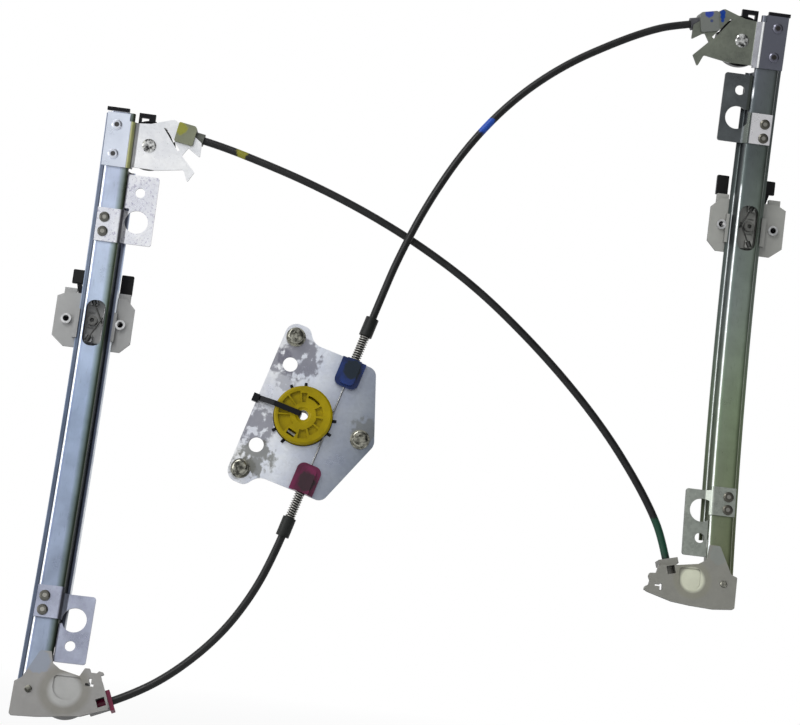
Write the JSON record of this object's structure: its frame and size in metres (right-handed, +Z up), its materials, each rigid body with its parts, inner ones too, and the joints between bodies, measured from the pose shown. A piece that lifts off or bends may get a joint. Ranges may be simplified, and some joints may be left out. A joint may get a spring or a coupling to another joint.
{
  "type": "window regulator",
  "caption": "Cable-driven window regulator with twin curved rails, glass carriers, a cable drum on a motor plate, and sheathed cables over top pulleys.",
  "frame": {"origin": "drum axis at the motor plate's front face", "axes": "+X across from the left rail to the right rail, +Y away from the door's inner side towards its outer side, +Z up along the rails"},
  "size_m": [0.6048, 0.0727, 0.6521],
  "materials": {
    "zinc_sheet": "bright zinc-plated sheet steel",
    "zinc_sheet_dull": "darker zinc-plated sheet steel",
    "zinc_steel": "zinc-plated steel",
    "dark_steel": "dark spring steel",
    "steel_cable": "stranded steel cable",
    "rubber_black": "black rubber",
    "black_plastic": "black moulded plastic",
    "conduit_black": "black plastic-coated cable conduit",
    "natural_plastic": "uncoloured, slightly translucent plastic",
    "yellow_plastic": "mustard yellow plastic"
  },
  "bodies": {
    "frame": {"left_rail": "zinc_sheet", "right_rail": "zinc_sheet_dull", "left_rail_pad": "rubber_black", "right_rail_pad": "rubber_black", "left_rivets": "zinc_steel", "right_rivets": "zinc_steel", "left_upper_mount": "zinc_sheet", "right_upper_mount": "zinc_sheet_dull", "left_lower_mount": "zinc_sheet", "right_lower_mount": "zinc_sheet_dull", "left_pulley_bracket": "zinc_sheet", "right_pulley_bracket": "zinc_sheet_dull", "left_pulley_axle": "zinc_steel", "right_pulley_axle": "zinc_steel", "left_pulley_guard": "black_plastic", "right_pulley_guard": "black_plastic", "left_conduit_end": "natural_plastic", "right_conduit_end": "natural_plastic", "left_conduit_sleeve": "black_plastic", "right_conduit_sleeve": "black_plastic", "left_bottom_guide": "natural_plastic", "right_bottom_guide": "natural_plastic", "left_guide_pin": "zinc_steel", "right_guide_pin": "zinc_steel", "left_guide_ferrule": "natural_plastic", "right_guide_ferrule": "natural_plastic", "left_rail_cable": "steel_cable", "right_rail_cable": "steel_cable", "motor_plate": "zinc_sheet", "motor_screws": "zinc_steel", "screw_washers": "zinc_steel", "drum_retainer": "black_plastic", "cable_tie": "black_plastic", "upper_cable_socket": "natural_plastic", "lower_cable_socket": "natural_plastic", "upper_spring": "dark_steel", "lower_spring": "dark_steel", "upper_drum_cable": "steel_cable", "lower_drum_cable": "steel_cable", "upper_conduit": "conduit_black", "cross_conduit": "conduit_black", "lower_conduit": "conduit_black"},
    "drum": {"cable_drum": "yellow_plastic", "drum_cable_turns": "steel_cable", "drum_nipple": "zinc_steel"},
    "left_top_pulley": {"left_pulley": "black_plastic"},
    "right_top_pulley": {"right_pulley": "black_plastic"},
    "left_glass_carrier": {"left_carrier": "natural_plastic", "left_nipples": "zinc_steel", "left_bushes": "zinc_steel", "left_glass_clamp": "black_plastic", "left_clamp_pads": "rubber_black"},
    "right_glass_carrier": {"right_carrier": "natural_plastic", "right_nipples": "zinc_steel", "right_bushes": "zinc_steel", "right_glass_clamp": "black_plastic", "right_clamp_pads": "rubber_black"},
    "upper_tensioner": {"upper_spring_cap": "black_plastic"},
    "lower_tensioner": {"lower_spring_cap": "black_plastic"}
  },
  "joints": [
    {"name": "left_carrier_travel", "type": "hinge", "parent": "frame", "child": "left_glass_carrier", "pos_m": [-0.1805, -1.388, 0.055], "axis": [1, 0, 0], "range_deg": [-9.82, 3.89]},
    {"name": "right_carrier_travel", "type": "hinge", "parent": "frame", "child": "right_glass_carrier", "pos_m": [0.3545, -1.388, 0.055], "axis": [1, 0, 0], "range_deg": [-10.02, 4.09]},
    {"name": "drum_spin", "type": "hinge", "parent": "frame", "child": "drum", "pos_m": [0, 0, 0], "axis": [0, 1, 0], "range_deg": [-645, 256.5]},
    {"name": "left_pulley_spin", "type": "hinge", "parent": "frame", "child": "left_top_pulley", "pos_m": [-0.1559, 0.01076, 0.21161], "axis": [0, 0.9938, 0.1113], "range_deg": [-770, 306]},
    {"name": "right_pulley_spin", "type": "hinge", "parent": "frame", "child": "right_top_pulley", "pos_m": [0.3299, -0.01498, 0.36461], "axis": [0, 0.9755, 0.22], "range_deg": [-306, 770]},
    {"name": "upper_tensioner_slide", "type": "slide", "parent": "frame", "child": "upper_tensioner", "axis": [0.2656, 0, 0.9641], "range_m": [-0.004, 0], "stiffness_N_per_m": 400, "springref_m": 0.0005, "deforming": ["upper_spring"]},
    {"name": "lower_tensioner_slide", "type": "slide", "parent": "frame", "child": "lower_tensioner", "axis": [-0.2656, 0, -0.9641], "range_m": [-0.004, 0], "stiffness_N_per_m": 400, "springref_m": 0.0005, "deforming": ["lower_spring"]}
  ],
  "couplings": [
    {"joint": "right_carrier_travel", "follows": "left_carrier_travel", "ratio": 1},
    {"joint": "drum_spin", "follows": "left_carrier_travel", "ratio": 65.465},
    {"joint": "left_pulley_spin", "follows": "left_carrier_travel", "ratio": 78.194},
    {"joint": "right_pulley_spin", "follows": "left_carrier_travel", "ratio": -78.194}
  ]
}
